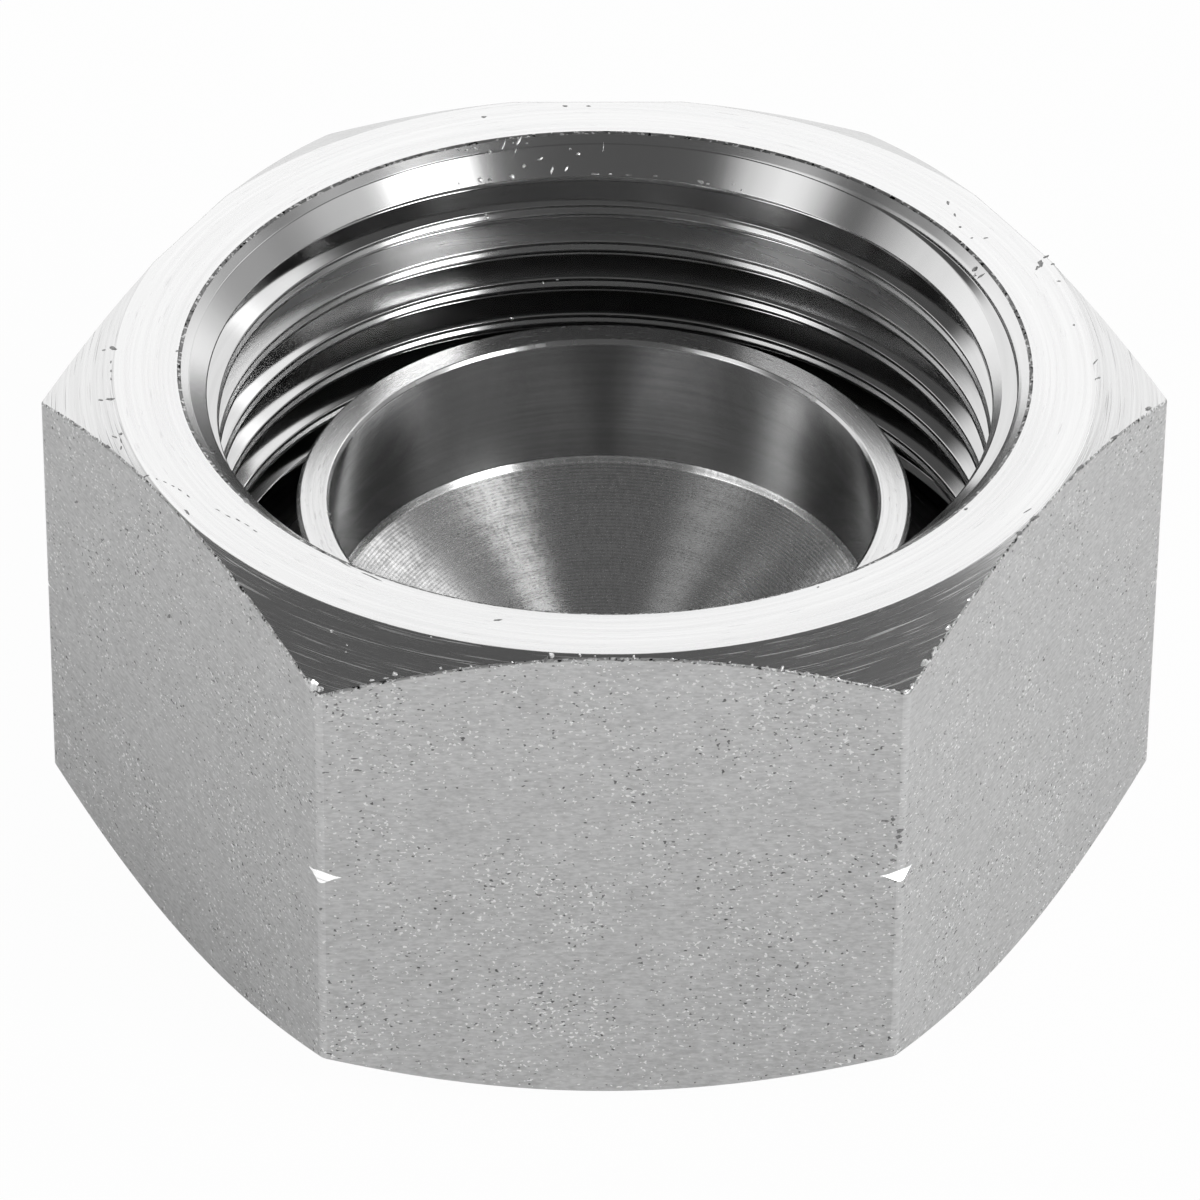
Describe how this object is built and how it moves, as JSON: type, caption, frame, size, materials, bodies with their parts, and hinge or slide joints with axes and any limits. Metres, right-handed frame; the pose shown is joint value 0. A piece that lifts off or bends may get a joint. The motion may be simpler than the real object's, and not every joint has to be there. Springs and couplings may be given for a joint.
{
  "type": "threaded protection cap",
  "caption": "Hexagonal screw cap with a closed flat end, a threaded mouth and a raised cup inside it. It screws over a male threaded port to close and protect it.",
  "frame": {"origin": "centre of the closed end face, on the turning axis", "axes": "+Z along the turning axis, out of the open mouth; -Y out of the hexagon's front flat; the hexagon's corners point along +X and -X"},
  "size_m": [0.0368, 0.032, 0.018],
  "materials": {
    "plated_steel": "bright plated, blasted on the flats and turned on the faces and in the mouth"
  },
  "bodies": {
    "root": {"cap_body": "plated_steel"}
  },
  "joints": []
}
